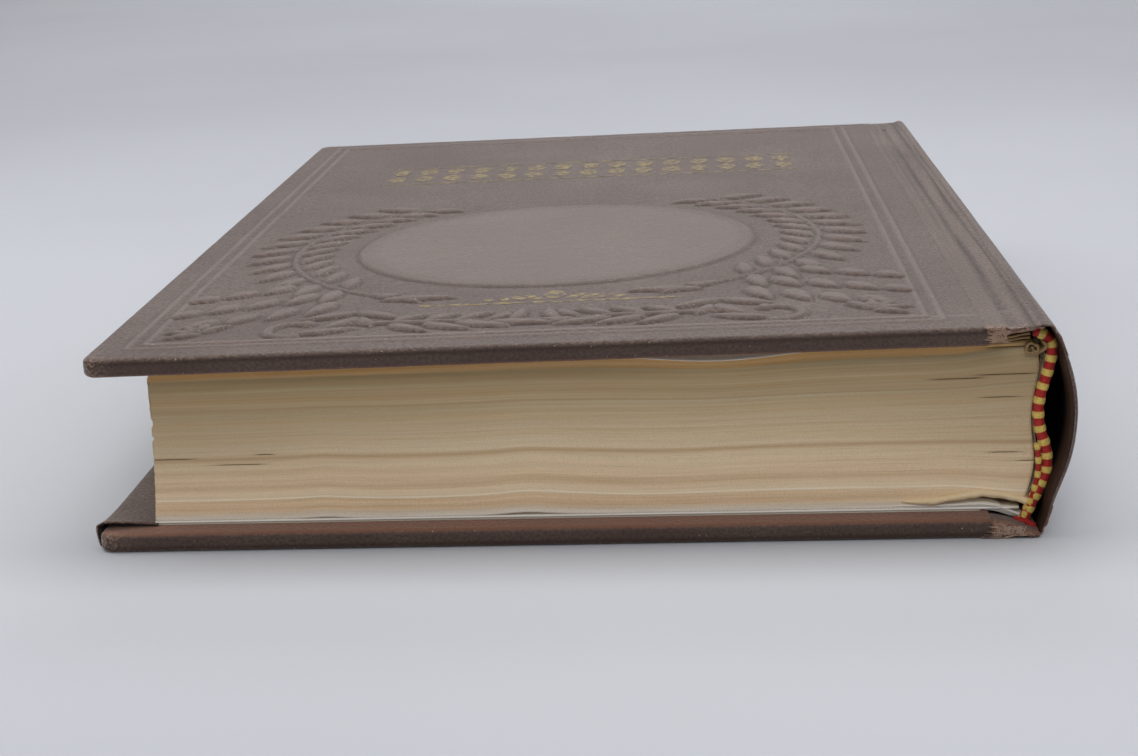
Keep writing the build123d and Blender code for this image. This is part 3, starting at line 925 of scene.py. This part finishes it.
def spine_skin():
    """The hollow spine: cloth over card, turned in and rounded at head and tail."""
    shares = np.linspace(0.02, 0.98, 64)
    line, outward, girth = spine_frame(shares)
    end_rows = -half_height + np.array([0, 0.08, 0.25, 0.5, 0.85, 1.3, 3.0]) * MM
    inner_rows = spaced(-half_height + 6 * MM, half_height - 6 * MM, 2.4 * MM)
    y = np.concatenate([end_rows, inner_rows, -end_rows[::-1]])[:, None]
    from_end = half_height - np.abs(y)
    from_fold = np.minimum(shares, 1 - shares) * girth
    thick = cloth_thickness + card_bulge * ease((from_fold - 3 * MM) / (6 * MM))
    half = rounded(from_end, 0.85 * MM) * thick / 2
    middle = (cloth_thickness - thick) / 2
    sway = 0.06 * MM * wander(y / (16 * MM), from_fold / (7 * MM), 31)
    place = line + y[..., None] * TAILWARD
    outer = place + (middle + half + sway)[..., None] * outward
    points, faces = shell(outer, place + (middle - half)[..., None] * outward)
    patches = np.clip(0.4 + wander(from_fold / (3 * MM), y / (3 * MM), 8), 0, 1)
    rub = 0.35 * bump(from_end, 0, 2.0 * MM) * patches
    marks = {
        "wear": two_sided(half.shape, rub, 0.3 * rub),
        "inside": two_sided(half.shape, 0.0, 0.5),
        "shade": two_sided(half.shape, 0.0, 0.5),
        # Painted shade: the inside turns black further from the ends.
        "dark": two_sided(half.shape, 0.0, ease((from_end - 1.5 * MM) / (6 * MM))),
    }
    name = "spine_cloth"
    piece = make_piece(f"{name}_skin", points, faces, cloth, "text_block", [name], marks)
    piece.data.materials.append(spine_inside)
    inner = np.all(faces >= half.size, axis=1)
    piece.data.polygons.foreach_set("material_index", inner.astype(np.int32))


def bend_with(cover, piece):
    """Bakes a piece's placement into its mesh. The cover's place at the fold's reach is worked out and not
    used.
    """
    cover.place(fold_reach, 0.0, 0.0)
    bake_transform(piece)


def joint_line(cover):
    """The way of a joint's cloth from the board over its fold onto the spine, and its outward directions."""
    spine_line, spine_out, _ = spine_frame(spine_holds if cover is back else 1 - spine_holds)
    start = cover.joint + 0.6 * MM
    a = np.array([start, start - 2 * MM, cover.joint / 2, fold_reach, 0.2 * MM])
    c = cover.outside - cloth_thickness / 2 + np.array([0.0, -0.1, -0.45, -0.05, 0.05]) * MM
    if cover is front:
        c = c + np.array([0.0, 0.0, 0.0, 0.21, 0.35]) * MM
    line = spline(np.concatenate([cover.place(a, 0.0, c), spine_line + 0.28 * MM * spine_out]), 90)
    normal = np.cross(np.gradient(line, axis=0), TAILWARD)
    normal /= np.linalg.norm(normal, axis=1)[:, None]
    return line, normal * np.sign(normal[0] @ cover.out)


def joint_grooves(y, share):
    """Depth of the worn grooves along a joint, which wander a little."""
    sway = 0.012 * wander(y / (35 * MM), 0 * share, 44)
    groove = bump(share, 0.31 + sway, 0.03) * (0.8 + 0.4 * wander(y / (14 * MM), 0 * share, 45))
    return groove + 0.8 * bump(share, 0.5 + sway, 0.016) + 0.6 * bump(share, 0.56 - sway, 0.012)


def joint_cloth(cover):
    """Cloth that runs from a board over its fold and onto the spine, creased along its length."""
    line, normal = joint_line(cover)
    inner_rows = spaced(-half_height + 0.6 * MM, half_height - 0.6 * MM, 2.0 * MM)
    rows = [-half_height, *inner_rows, half_height]
    y, share = np.meshgrid(rows, np.linspace(0, 1, len(line)), indexing="ij")
    fold = wander(share * 15, y / (60 * MM), 41)
    groove = joint_grooves(y, share)
    crease = crease_height * (1 - 2 * np.abs(fold)) * np.sin(math.pi * share) ** 0.7
    crease = crease - groove_depth * groove * (cover is front)
    half = cloth_thickness / 2 * np.where(np.abs(y) > half_height - 0.1 * MM, 0.35, 1)
    half = half * (1 - 0.75 * ease(share * 6 - 5))
    place = line + y[..., None] * TAILWARD
    outer = place + (crease + half)[..., None] * normal
    points, faces = shell(outer, place + (crease - half)[..., None] * normal)
    points[:, 2] = np.maximum(points[:, 2], 0)
    frayed = np.clip(0.5 + wander(share * 14, y / MM, 43), 0, 1) * bump(half_height - np.abs(y), 0, 1.2 * MM)
    ridge = np.clip(crease / crease_height, -1, 1)
    wear = np.clip(frayed + 0.25 * ridge, 0, 1)
    shade = np.clip(np.maximum(0.7 * -ridge, groove), 0, 1)
    marks = {
        "wear": two_sided(y.shape, wear, wear),
        "shade": two_sided(y.shape, shade, shade),
        "inside": two_sided(y.shape, 0.0, 1.0),
    }
    piece = make_piece(f"{cover.side}_joint_cloth", points, faces, cloth, None, (), marks)
    bend_with(cover, piece)


# The turned-in cloth beside each board's end: distance from the fold and depth below the outside, in mm
turned_lines = {
    "front": [(11.6, 3.6), (9.3, 2.9), (8.2, 1.7), (3.9, 1.0), (1.2, 0.5)],
    "back": [(10.3, 3.65), (8.8, 3.5), (5.3, 2.7), (1.4, 1.3), (-0.1, 0.6)],
}
turned_start = 0.3 * MM


def turned_cloth(cover, end):
    """The folded end of the cloth between a board and the spine, thick at the edge and gone further in."""
    line = spline(np.array(turned_lines[cover.side]) * MM, 30)
    depth = np.array([0, 0.12, 0.35, 0.7, 1.3, 2.5, 4, 6, 8, 10, 12, 14])[:, None] * MM
    fade = rounded(depth, 0.7 * MM) * (1 - ease((depth - 3 * MM) / (11 * MM)))
    a, b = np.broadcast_arrays(line[:, 0], end * (half_height - depth))
    ragged = 0.12 * MM * wander(a / (0.6 * MM), b / (0.9 * MM), 73)
    below = turned_start + np.maximum(line[:, 1] - turned_start, 0) * (0.25 + 0.75 * fade) + ragged
    outer = cover.place(a, b, cover.outside - turned_start)
    points, faces = shell(cover.place(a, b, cover.outside - below), outer)
    worn = ease((cover.joint - 1.0 * MM - a) / (1.5 * MM)) * bump(depth, 0, 1.5 * MM)
    marks = {
        "inside": two_sided(a.shape, 0.7, 0.0),
        "wear": two_sided(a.shape, 0.8 * worn, 0.8 * worn),
        "shade": two_sided(a.shape, 0.3 * (1 - worn), 0.3 * (1 - worn)),
    }
    name = f"{cover.side}_turned_cloth_{'head' if end < 0 else 'tail'}"
    piece = make_piece(name, points, faces, cloth, None, (), marks)
    bend_with(cover, piece)


def fray(cover, count, low, high, seed):
    """Loose threads at the head end of a joint, between two corners of a patch in a and depth, in mm."""
    chance = np.random.default_rng(seed)
    steps = np.linspace(0, 1, 7)
    parts = []
    for _ in range(count):
        start = np.array([chance.uniform(low[0], high[0]), chance.uniform(low[1], high[1])]) * MM
        heading = chance.choice([0.0, math.pi / 2]) + chance.normal(0, 0.16)
        length = chance.uniform(0.5, 1.9) * MM
        angle = heading + chance.normal(0, 0.2) * steps
        a = start[0] + length * steps * np.cos(angle)
        down = np.minimum(start[1] + length * steps * np.sin(angle), high[1] * MM)
        b = -half_height - (0.06 + 0.25 * chance.random() * steps * (1 - 0.5 * steps)) * MM
        radius = chance.uniform(0.035, 0.08) * MM * (1 - 0.6 * steps**3)
        parts.append(tube(cover.place(a, b, cover.outside - down), radius, 5))
    points, faces = joined(parts)
    piece = make_piece(f"{cover.side}_joint_fray", points, faces, raw_thread, None)
    bend_with(cover, piece)


spine_skin()
for cover in (front, back):
    joint_cloth(cover)
    for end in (-1, 1):
        turned_cloth(cover, end)
fray(front, 130, (8.2, 0.0), (10.6, 2.8), 81)
fray(back, 150, (2.6, 0.3), (8.0, 2.4), 82)


# Pages

# Waves of the page back and of the bands: height above the pages' bottom and offset from the back fold,
# both as shares of the pages' thickness at the spine
page_back_wave = [(0.0, -0.084), (0.22, 0.011), (0.55, -0.051), (0.92, 0.028), (1.0, -0.034)]
band_wave = [
    (-0.085, -0.07),
    (0.05, -0.01),
    (0.27, 0.088),
    (0.58, -0.022),
    (0.92, 0.085),
    (1.04, 0.06),
    (1.064, -0.03),
]

# Gaps between leaves at the head: place along x, height above the pages' bottom, half length and depth,
# in mm
head_cracks = [
    (-78.4, 12.6, 3.6, 0.7),
    (-65.0, 11.2, 4.2, 0.4),
    (-60.0, 13.1, 1.5, 0.4),
    (71.0, 25.3, 4.0, 0.6),
    (80.0, 26.0, 4.5, 0.8),
    (79.0, 21.6, 3.0, 0.4),
    (80.0, 10.7, 2.5, 0.4),
    (85.5, 9.0, 2.5, 0.7),
    (82.0, 31.2, 4.5, 0.9),
]

# Where the lowest leaves stand off the cover: place along x, half length and rise, in mm
bottom_gaps = [(-49.0, 4.0, 0.3), (-10.0, 6.0, 0.55)]

# Where the leaves swing up or down along the head: place along x, half length and rise, in mm
leaf_swings = [(-50.0, 11.0, 0.3), (-33.0, 12.0, -0.25), (-5.0, 12.0, 0.45)]

# Lines along the head in x and z, in mm: the top of a loose folded leaf near the spine, the winding beside
# the lower half of the head band, and the band's loose end
torn_top = [(61.0, 5.9), (68.6, 6.6), (76.4, 8.0), (79.6, 7.3), (85.2, 5.9)]
skirt_line = [(83.4, 1.8), (84.6, 4.4), (85.6, 7.6), (86.3, 11.0), (86.3, 14.0), (85.9, 17.0)]
loose_end_line = [(85.6, 0.7), (84.6, 1.4), (83.3, 1.9), (81.9, 2.5)]

# Endpaper layers at the two hinges, in x and z, with each next layer's rise, in mm
back_hinge_line = [
    (60.0, 4.9, -0.26),
    (72.0, 5.0, -0.26),
    (77.5, 5.2, -0.26),
    (80.8, 3.9, -0.26),
    (84.4, 2.2, -0.104),
]
front_hinge_line = [(72.0, 36.2, 0.1), (78.0, 36.5, 0.25), (84.3, 36.7, 0.8)]
gutter_line = [(72.0, 36.45), (78.0, 36.8), (84.3, 37.8), (86.2, 39.3)]

# The endpaper inside the front joint: distance from the fold and depth below the outside, in mm
joint_sheet_line = [(8.4, 2.4), (4.2, 1.6), (1.0, 1.15)]

# Strips of paper run inwards from just outside the head
strip_near = -page_half - 0.1 * MM
strip_far = -page_half + 5 * MM

# Curled scrap beside the top of the head band
scrap_place = (84.9 * MM, 35.4 * MM)
scrap_turns = 1.75
scrap_half = 0.26 * MM


def page_edge_places():
    """Steps round the pages: along the head to the fore edge, down it, along the tail and up the back."""
    head, fore, tail, rear = (np.linspace(0, 1, count, endpoint=False) for count in (250, 190, 170, 40))
    along = np.concatenate([head, np.ones(len(fore)), 1 - tail, np.zeros(len(rear))])
    down = np.concatenate([np.zeros(len(head)), fore, np.ones(len(tail)), 1 - rear])
    return along, down


def wave_line(wave):
    """A wave of the page back or a band, as points in x and z."""
    height, offset = np.array(wave).T * page_thickness
    return np.stack([back_fold[0] + offset, np.zeros(len(offset)), page_bottom + height], 1)


def head_line(path, y):
    """A line along the head, from its points in x and z in mm."""
    x, z = np.array(path).T * MM
    return np.stack([x, np.full(len(x), y), z], 1)


def top_sag(x):
    """How far the top leaves hang below their straight line."""
    return sag_depth * bump(x, sag_place, sag_width)


def leaf_level(x, height):
    """The leaf at a place of the page edges, as a share of all leaves: they fan at the spine and wave."""
    spread = ease((x - fan_place) / fan_width) * (2 * height - 1) * fan_share
    waves = sum(rise * MM * bump(x, place * MM, reach * MM) for place, reach, rise in leaf_swings)
    waves = waves - 0.7 * MM * bump(x, (13 + 10 * height) * MM, 13 * MM)
    return height - spread - waves / page_thickness * ease(5 * height) * (1 - height)


def page_surface(along, height):
    """The page edges before their wear, in x and z, from the back line to the fore edge."""
    rear_line = spline(wave_line(page_back_wave), 200)
    rear_x = np.interp(page_bottom + height * page_thickness, rear_line[:, 2], rear_line[:, 0])
    head = pages[np.isclose(pages[:, 1], pages_low[1])]
    top_left = head[head[:, 0] < page_fore + 0.1 * MM][:, 2].max()
    slope = (pages_high[2] - top_left) / (back_fold[0] - page_fore)
    hollow = fore_hollow * (1 - (2 * height - 1) ** 2) + fore_lean * height
    x = rear_x + (page_fore + hollow - rear_x) * along
    gaps = (rise * MM * bump(x, place * MM, reach * MM) for place, reach, rise in bottom_gaps)
    low = page_bottom + sum(gaps)
    high = top_left + slope * (x - page_fore)
    return x, low + (high - low) * height - top_sag(x) * height**4, high[-1]


def open_cracks(x, z, at_head):
    """Gaps between leaves at the head: the leaves' new heights, how deep the gaps are, and the painted shade
    in them.
    """
    row = np.arange(len(x))[:, None]
    deep = dark = np.zeros(x.shape)
    for place, level, half, depth in np.array(head_cracks) * MM:
        middle = np.argmin(np.abs(x[0] - place) + ~at_head[0])
        crack_row = np.argmin(np.abs(z[:, middle] - page_bottom - level))
        spot = bump(x, place, half) * at_head
        gap = spot * (row == crack_row)
        beside = np.abs(row - crack_row) == 1
        z = z + 0.6 * (z[crack_row] - z) * ease(3 * spot) * beside
        deep = deep + depth * gap
        dark = np.maximum(dark, ease(gap * 1.6))
    return z, deep, dark


def text_block():
    """All the leaves, with uneven edges, a hollow fore edge, a few gaps and strata along the leaves."""
    along, down = page_edge_places()
    height, along = np.meshgrid(np.linspace(0, 1, 111), along, indexing="ij")
    down = np.broadcast_to(down, along.shape)
    at_head = down == 0
    x, z, top = page_surface(along, height)
    leaf = leaf_level(x, height)
    run = (1 - along) * (back_fold[0] - page_fore) + down * 2 * page_half
    uneven = 0.05 * MM * wander(run / (40 * MM), leaf * 46, 51)
    uneven = uneven + 0.025 * MM * wander(run / (14 * MM), leaf * 150, 52)
    z, deep, dark = open_cracks(x, z, at_head)
    torn = np.array(torn_top) * MM
    torn_low = np.interp(x, torn[:, 0], torn[:, 1]) - 0.6 * torn_thickness
    lost = ease((x - 66 * MM) / (9 * MM)) * (z < torn_low) * at_head
    inwards = uneven + 0.1 * MM + deep + 3.0 * MM * lost
    chips = 1.1 * MM * np.clip(wander(leaf * 37, run / (6 * MM), 53) - 0.55, 0, 1)
    x = x + ease((along - 0.985) / 0.015) * (inwards + chips)
    y = (2 * down - 1) * (page_half - inwards * (at_head | (down == 1)))
    points = np.stack([x, y, z], -1)
    middle = np.array([(page_fore + back_fold[0]) / 2, 0.0])
    bottom = np.full(len(top), page_bottom)
    caps = []
    for rim, level in ((points[0], bottom + cap_dish), (points[-1], top - cap_dish)):
        caps.append(np.concatenate([0.9 * rim[:, :2] + 0.1 * middle, level[:, None]], 1))
    points = np.concatenate([caps[:1], points, caps[1:]])
    rows, columns = points.shape[:2]
    last = (rows - 1) * columns
    faces = grid_faces(rows, columns, around=True).tolist()
    faces += [list(range(columns)), list(range(last, last + columns))]
    # Darker towards the fore edge and the spine, most at mid height.
    ends = bump(x, page_fore, 45 * MM) + 0.8 * bump(x, back_fold[0], 30 * MM)
    aged = 0.3 * ends * np.sin(math.pi * np.clip(1.2 * height - 0.2, 0, 1))
    # Painted shade in the gaps between leaves and where the leaves under the torn leaf are set back.
    marks = {"leaf": leaf, "run": run / (30 * MM), "shade": np.maximum(dark, 0.85 * lost), "aged": aged}
    marks = {name: np.pad(values, ((1, 1), (0, 0)), "edge").ravel() for name, values in marks.items()}
    name = "text_block"
    make_piece("page_edges", points, faces, page_edges, name, [name], marks, flat=2)


def flyleaf(side):
    """A free endpaper that follows the pages, its edge a little uneven."""
    name = f"{side}_flyleaf"
    low, high = (np.array(corner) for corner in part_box(name))
    sheet = node_points(name)
    slope, level = np.polyfit(sheet[:, 0], sheet[:, 2], 1)
    head_rows = low[1] + np.array([0, 0.25, 0.5, 0.8, 1.2, 1.7, 2.4, 3.4, 5.0]) * MM
    rows = np.concatenate([head_rows[:-1], spaced(head_rows[-1], high[1], 1.8 * MM)])
    x, y = np.meshgrid(spaced(low[0], high[0], 2 * MM), rows, indexing="ij")
    middle = slope * x + level
    rim = bump(np.minimum(high[1] - np.abs(y), x - low[0]), 0, 1.5 * MM)
    thick = sheet_half
    # Painted light whitens the back sheet's rim and the front sheet's drooping edge, which lie in shade.
    fresh = rim
    if side == "front":
        droop = top_sag(x) * np.exp(-(y - low[1]) / (1.5 * MM))
        fresh = 0.5 * ease(droop / MM)
        middle = middle - droop
        y = y - 0.8 * droop
    else:
        thick = sheet_half + 0.2 * MM * rim
    ripple = 0.04 * MM * wander(x / (12 * MM), y / (18 * MM), 61) * (1 - rim)
    top = np.stack([x, y, middle + sheet_half + ripple], -1)
    points, faces = shell(top, np.stack([x, y, middle - thick + ripple], -1))
    marks = {"fresh": two_sided(x.shape, fresh, fresh)}
    make_piece(f"{name}_sheet", points, faces, endpaper, "text_block", [name], marks)


def wound_cord(name, line, radius, shift, sides, replaces=()):
    """A cord wound with silk in red and yellow stripes."""
    distance = path_reach(line)
    wave = np.cos((distance / stripe_length + shift) * 2 * math.pi)
    thread = 0.06 * MM * np.cos(distance / (0.39 * MM) * 2 * math.pi)
    points, faces = tube(line, radius + thread + 0.08 * MM * wave, sides)
    marks = {"stripe": np.repeat(ease(2.2 * wave + 0.2), sides)}
    make_piece(name, points, faces, silk, "text_block", replaces, marks)


def end_band(name, end):
    """A band of wound silk over the ends of the pages."""
    line = spline(wave_line(band_wave), 420)
    line[:, 1] = end * page_half
    wound_cord(f"{name}_silk", line, band_radius, 0.0, 20, [name])


def head_band_skirt():
    """The winding that shows beside the head band, checkered against it."""
    line = spline(head_line(skirt_line, -page_half - 0.5 * MM), 200)
    wound_cord("head_band_skirt", line, skirt_radius, 0.5, 14)


def head_band_end():
    """The head band's loose red end, which tapers."""
    line = spline(head_line(loose_end_line, -page_half - 0.9 * MM), 60)
    share = np.linspace(0, 1, len(line))
    radius = loose_end_radius * (1 - 0.45 * share) + 0.05 * MM * np.cos(share * 60)
    points, faces = tube(line, radius, 14)
    make_piece("head_band_end", points, faces, silk, "text_block", (), {"stripe": 0.0})


def paper_strip(name, top, thickness, near, far, paint, ragged=0.0, folded=False, fresh=0.0):
    """A strip of paper whose head edge follows a line in x and z, in mm, and that runs inwards from it."""
    line = np.array(top) * MM
    if folded:
        places = np.linspace(line[0, 0], line[-1, 0], 60)
        line = np.stack([places, np.interp(places, line[:, 0], line[:, 1])], 1)
    else:
        line = spline(line, 60)
    share = np.linspace(0, 1, len(line))
    y = np.linspace(near, far, 9)[:, None]
    x = np.broadcast_to(line[:, 0], (len(y), len(line)))
    rough = ragged * wander(x / (1.1 * MM), (y - near) / (2 * MM), 91)
    z = line[:, 1] + 0.3 * rough
    thick = thickness * np.minimum(1, 0.25 + 3 * share) * (1 + 0.3 * wander(share * 9, share * 0, 92))
    over = np.stack([x, y + rough * 2, z], -1)
    points, faces = shell(over, np.stack([x, y + rough * 2.1, z - thick], -1))
    # Painted light whitens the strip near its head edge.
    white = fresh * bump(y, near, 5 * MM)
    marks = {"fresh": two_sided(x.shape, white, white)}
    make_piece(name, points, faces, paint, "text_block", (), marks)


def torn_leaf():
    """A loose leaf near the spine, folded and torn along the head."""
    near = strip_near - 0.3 * MM
    paper_strip("torn_leaf", torn_top, torn_thickness, near, strip_far, torn_paper, 0.12 * MM, folded=True)


def hinge_sheets():
    """Layers of endpaper that show at both hinges, and the sheet along the front gutter."""
    for layer in range(5):
        name = f"back_hinge_sheet_{layer}"
        line = [(x, z + layer * rise) for x, z, rise in back_hinge_line]
        near = strip_near + 0.12 * layer * MM
        paper_strip(name, line, 0.24 * MM, near, page_half, endpaper, 0.05 * MM, fresh=0.7)
    for layer in range(3):
        name = f"front_hinge_sheet_{layer}"
        line = [(x, z + layer * rise) for x, z, rise in front_hinge_line]
        paper_strip(name, line, 0.4 * MM, strip_near, strip_far, curled_paper, 0.08 * MM)
    gutter_end = page_half - 1.5 * MM
    paper_strip("front_gutter_sheet", gutter_line, 0.25 * MM, -gutter_end, gutter_end, endpaper, 0.05 * MM)


def joint_sheet():
    """The endpaper inside the front joint, from the pasted sheet to the fold."""
    low, high = front.sheet.min(0), front.sheet.max(0)
    level = front.outside - low[2] + 0.06 * MM
    way = [(low[0] + 1.5 * MM, level), (low[0] - 0.5 * MM, level), *np.array(joint_sheet_line) * MM]
    line = spline(way, 40)
    a, b = np.meshgrid(line[:, 0], spaced(low[1] + 1.5 * MM, high[1] - 1.5 * MM, 4 * MM))
    c = front.outside - line[:, 1] + 0.05 * MM * wander(a / (4 * MM), b / (20 * MM), 94)
    points, faces = shell(front.place(a, b, c + 0.04 * MM), front.place(a, b, c - 0.04 * MM))
    make_piece("front_joint_sheet", points, faces, endpaper, front.body)


def curled_scrap():
    """A curled scrap of paper beside the top of the head band."""
    turns = np.linspace(0, scrap_turns * 2 * math.pi, 110)
    wobble = 1 + 0.28 * np.sin(1.7 * turns + 1) + 0.12 * np.sin(4.3 * turns)
    radius = (1.65 - 1.4 * turns / turns[-1]) * MM * wobble
    y = np.linspace(-page_half - 1.2 * MM, -page_half + 3.5 * MM, 9)[:, None]
    angle = 0.6 - turns + 0.35 * (y - y[0]) / (2 * MM)
    rough = 0.25 * MM * wander(turns * 1.3 + 0 * y, 0 * turns + y / (9 * MM), 93)
    sheets = []
    for half in (scrap_half, -scrap_half):
        x = scrap_place[0] + (radius + half) * np.cos(angle)
        z = scrap_place[1] + 0.92 * (radius + half) * np.sin(angle)
        sheets.append(np.stack([x, y + rough, z], -1))
    points, faces = shell(*sheets)
    make_piece("curled_scrap", points, faces, curled_paper, "text_block")


text_block()
for side in ("front", "back"):
    flyleaf(side)
end_band("head_band", -1)
end_band("tail_band", 1)
head_band_skirt()
head_band_end()
torn_leaf()
hinge_sheets()
joint_sheet()
curled_scrap()

hidden_paints = {
    pasteboard: ("front_board", "back_board", "spine_inlay"),
    linen: ("sewing_tape_head", "sewing_tape_middle", "sewing_tape_tail", "spine_mull"),
    endpaper: ("spine_lining",),
}
for paint, names in hidden_paints.items():
    for name in names:
        frame["nodes"][name].data.materials.clear()
        frame["nodes"][name].data.materials.append(paint)


# Floor, light and camera

floor_half = 3.0
floor_flat = 1.2
floor_rise = 1.5
floor_gap = 0.02 * MM
overhead_place, overhead_aim = (0.0, 0.04, 0.68), (0.0, 0.04, 0.0)
overhead_size, overhead_power = (1.1, 0.4), 4.1
surround_distance, surround_height = 1.3, 1.0
surround_size = (0.7, 0.7)
surround_powers = (7.0, 4.0, 8.0, 4.0)
sky_colour, sky_strength = (0.93, 0.95, 1.0, 1.0), 0.32


def floor():
    """A wide pale floor that curves up far behind."""
    turns = np.linspace(0, math.pi / 2, 16)
    y = np.concatenate([[-floor_half], floor_flat + floor_rise * np.sin(turns)])
    z = np.concatenate([[0.0], floor_rise - floor_rise * np.cos(turns)]) - floor_gap
    grid = np.stack([np.stack([np.full(len(y), x), y, z], -1) for x in (-floor_half, floor_half)])
    faces = grid_faces(*grid.shape[:2])
    piece = make_piece("floor", grid, faces, floor_paint(), flat=len(faces))


def area_light(name, place, aim, size, power):
    """A soft light panel."""
    lamp = bpy.data.lights.new(name, "AREA")
    lamp.shape = "RECTANGLE"
    lamp.size, lamp.size_y = size
    lamp.energy = power
    piece = bpy.data.objects.new(name, lamp)
    piece.location = place
    piece.rotation_euler = (Vector(place) - Vector(aim)).to_track_quat("Z", "Y").to_euler()
    piece.visible_camera = False
    bpy.context.scene.collection.objects.link(piece)


def lights():
    """A panel over the book, four round it and a pale sky."""
    area_light("overhead", overhead_place, overhead_aim, overhead_size, overhead_power)
    for side, power in enumerate(surround_powers):
        turn = side * math.pi / 2
        x, y = surround_distance * math.sin(turn), surround_distance * math.cos(turn)
        area_light(f"surround_{side}", (x, y, surround_height), (x, y, 0.0), surround_size, power)
    world = bpy.data.worlds.new("studio")
    bpy.context.scene.world = world
    world.use_nodes = True
    sky = world.node_tree.nodes["Background"]
    sky.inputs["Color"].default_value = sky_colour
    sky.inputs["Strength"].default_value = sky_strength


def camera():
    """A low view onto the head, rolled a little."""
    yaw, pitch, roll = camera_yaw, camera_pitch, camera_roll
    ahead = np.array([math.sin(yaw) * math.cos(pitch), math.cos(yaw) * math.cos(pitch), math.sin(pitch)])
    level = np.array([math.cos(yaw), -math.sin(yaw), 0.0])
    over = np.cross(level, ahead)
    right = level * math.cos(roll) + over * math.sin(roll)
    up = over * math.cos(roll) - level * math.sin(roll)
    lens = bpy.data.cameras.new("camera")
    lens.lens = camera_lens
    lens.sensor_width = 36.0
    lens.clip_start, lens.clip_end = 0.01, 20.0
    eye = bpy.data.objects.new("camera", lens)
    turn = Matrix(np.stack([right, up, -ahead], 1).tolist())
    eye.matrix_world = Matrix.Translation(camera_place) @ turn.to_4x4()
    bpy.context.scene.collection.objects.link(eye)
    bpy.context.scene.camera = eye


floor()
lights()
camera()
bpy.context.scene.view_settings.view_transform = "Standard"
